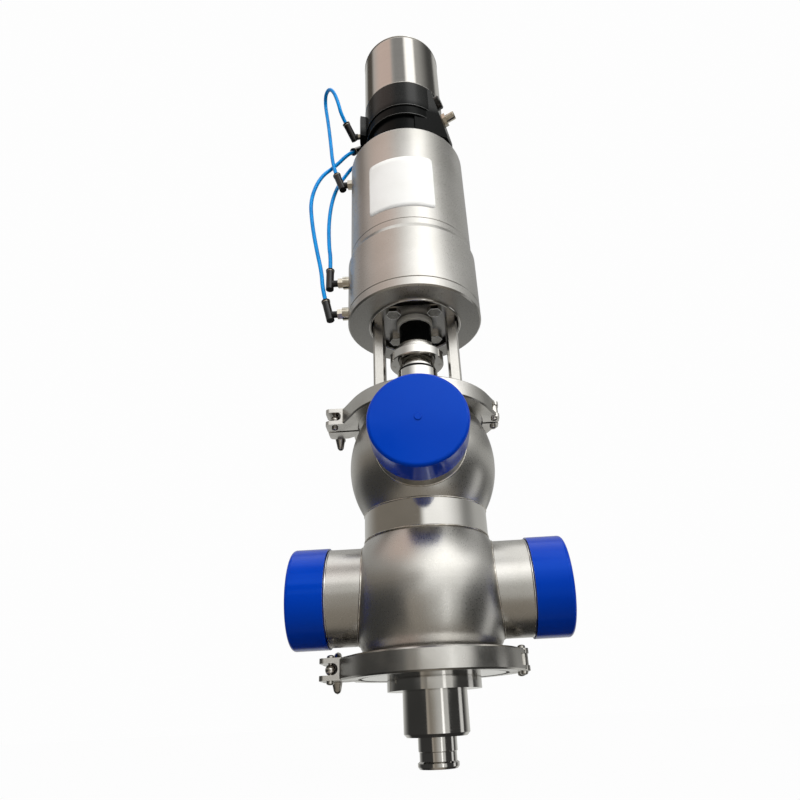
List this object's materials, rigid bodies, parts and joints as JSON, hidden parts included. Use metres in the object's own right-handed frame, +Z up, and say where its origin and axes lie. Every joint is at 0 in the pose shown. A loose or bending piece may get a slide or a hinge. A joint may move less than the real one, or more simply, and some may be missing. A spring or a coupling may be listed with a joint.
{
  "type": "mixproof valve",
  "caption": "Double-seat mixproof valve with two crossed pipe runs, clamped bonnets, a spring-return air actuator and a control head.",
  "frame": {"origin": "on the valve's axis at the bottom face of the leak outlet, the lowest point", "axes": "+Z up the valve axis to the control head, +X along the lower pipe run, Y along the upper pipe run with -Y to the front"},
  "size_m": [0.3034, 0.2764, 1.07],
  "materials": {
    "satin_steel": "bead blasted, satin",
    "polished_steel": "polished",
    "brushed_cap_steel": "brushed",
    "fastener_steel": "machined",
    "clamp_steel": "cast, bead blasted",
    "pin_steel": "polished",
    "blue_cap_plastic": "gloss",
    "black_head_plastic": "satin",
    "black_fitting_plastic": "gloss",
    "plated_brass": "nickel plated",
    "collar_plastic": "gloss",
    "blue_hose": "gloss",
    "seal_rubber": "matte",
    "bush_plastic": "machined",
    "spring_steel": "drawn",
    "board": "matte"
  },
  "bodies": {
    "valve_body": {"lower_housing": "satin_steel", "seat_ring": "satin_steel", "upper_housing": "satin_steel", "yoke": "satin_steel", "actuator_bottom": "satin_steel", "actuator_lower_shell": "satin_steel", "actuator_upper_shell": "satin_steel", "actuator_cover": "satin_steel", "actuator_partition": "satin_steel", "lower_bonnet": "polished_steel", "upper_bonnet": "polished_steel", "yoke_fasteners": "fastener_steel", "lower_clamp_rear": "clamp_steel", "upper_clamp_rear": "clamp_steel", "lower_clamp_hinge": "pin_steel", "upper_clamp_hinge": "pin_steel", "control_base": "black_head_plastic", "pilot_valves": "black_head_plastic", "push_in_elbows": "black_fitting_plastic", "vent_plug": "black_fitting_plastic", "port_fittings": "plated_brass", "power_socket": "plated_brass", "elbow_collars": "collar_plastic", "hose_top": "blue_hose", "hose_low": "blue_hose", "hose_mid": "blue_hose", "joint_gaskets": "seal_rubber", "shaft_seals": "seal_rubber", "control_seal": "seal_rubber", "guide_bushes": "bush_plastic", "rod_guide": "bush_plastic", "main_spring": "spring_steel", "position_sensor": "board"},
    "upper_plug": {"upper_plug": "polished_steel", "upper_plug_seal": "seal_rubber", "coupling_flange": "polished_steel", "coupling_ring": "polished_steel", "coupling_screws": "fastener_steel", "rod_sleeve": "black_head_plastic", "rod_tube": "polished_steel", "main_piston": "satin_steel", "piston_seal": "seal_rubber", "plug_spring": "spring_steel"},
    "lower_plug": {"lower_plug": "polished_steel", "lower_plug_seal": "seal_rubber", "lower_rod": "polished_steel", "push_piston": "satin_steel"},
    "cap_left": {"cap_left": "blue_cap_plastic"},
    "cap_right": {"cap_right": "blue_cap_plastic"},
    "cap_front": {"cap_front": "blue_cap_plastic"},
    "cap_rear": {"cap_rear": "blue_cap_plastic"},
    "control_cap": {"control_cap": "brushed_cap_steel"},
    "lower_clamp_front": {"lower_clamp_front": "clamp_steel", "lower_bolt_pin": "pin_steel"},
    "lower_eyebolt": {"lower_eyebolt": "pin_steel"},
    "lower_wing_nut": {"lower_wing_nut": "pin_steel"},
    "upper_clamp_front": {"upper_clamp_front": "clamp_steel", "upper_bolt_pin": "pin_steel"},
    "upper_eyebolt": {"upper_eyebolt": "pin_steel"},
    "upper_wing_nut": {"upper_wing_nut": "pin_steel"}
  },
  "joints": [
    {"name": "upper_plug_stroke", "type": "slide", "parent": "valve_body", "child": "upper_plug", "axis": [0, 0, 1], "range_m": [0, 0.03], "stiffness_N_per_m": 8000, "springref_m": -0.02, "deforming": ["main_spring"]},
    {"name": "lower_plug_stroke", "type": "slide", "parent": "upper_plug", "child": "lower_plug", "axis": [0, 0, 1], "range_m": [-0.005, 0.0075], "stiffness_N_per_m": 8000, "deforming": ["plug_spring"]},
    {"name": "cap_left_pull", "type": "slide", "parent": "valve_body", "child": "cap_left", "axis": [-1, 0, 0], "range_m": [0, 0.2]},
    {"name": "cap_right_pull", "type": "slide", "parent": "valve_body", "child": "cap_right", "axis": [1, 0, 0], "range_m": [0, 0.2]},
    {"name": "cap_front_pull", "type": "slide", "parent": "valve_body", "child": "cap_front", "axis": [0, -1, 0], "range_m": [0, 0.2]},
    {"name": "cap_rear_pull", "type": "slide", "parent": "valve_body", "child": "cap_rear", "axis": [0, 1, 0], "range_m": [0, 0.2]},
    {"name": "control_cap_lift", "type": "slide", "parent": "valve_body", "child": "control_cap", "axis": [0, 0, 1], "range_m": [0, 0.15]},
    {"name": "lower_clamp_open", "type": "hinge", "parent": "valve_body", "child": "lower_clamp_front", "pos_m": [0.091, -0.011, 0.09125], "axis": [0, 0, 1], "range_deg": [0, 6]},
    {"name": "lower_eyebolt_swing", "type": "hinge", "parent": "lower_clamp_front", "child": "lower_eyebolt", "pos_m": [-0.105, -0.011, 0.09125], "axis": [0, 0, 1], "range_deg": [0, 100]},
    {"name": "lower_wing_nut_travel", "type": "slide", "parent": "lower_eyebolt", "child": "lower_wing_nut", "axis": [0, 1, 0], "range_m": [0, 0.0206]},
    {"name": "upper_clamp_open", "type": "hinge", "parent": "valve_body", "child": "upper_clamp_front", "pos_m": [0.091, -0.011, 0.3748], "axis": [0, 0, 1], "range_deg": [0, 6]},
    {"name": "upper_eyebolt_swing", "type": "hinge", "parent": "upper_clamp_front", "child": "upper_eyebolt", "pos_m": [-0.105, -0.011, 0.3748], "axis": [0, 0, 1], "range_deg": [0, 100]},
    {"name": "upper_wing_nut_travel", "type": "slide", "parent": "upper_eyebolt", "child": "upper_wing_nut", "axis": [0, 1, 0], "range_m": [0, 0.0206]}
  ],
  "couplings": [
    {"joint": "lower_wing_nut_travel", "follows": "lower_clamp_open", "m_per_rad": 0.196},
    {"joint": "upper_wing_nut_travel", "follows": "upper_clamp_open", "m_per_rad": 0.196}
  ]
}
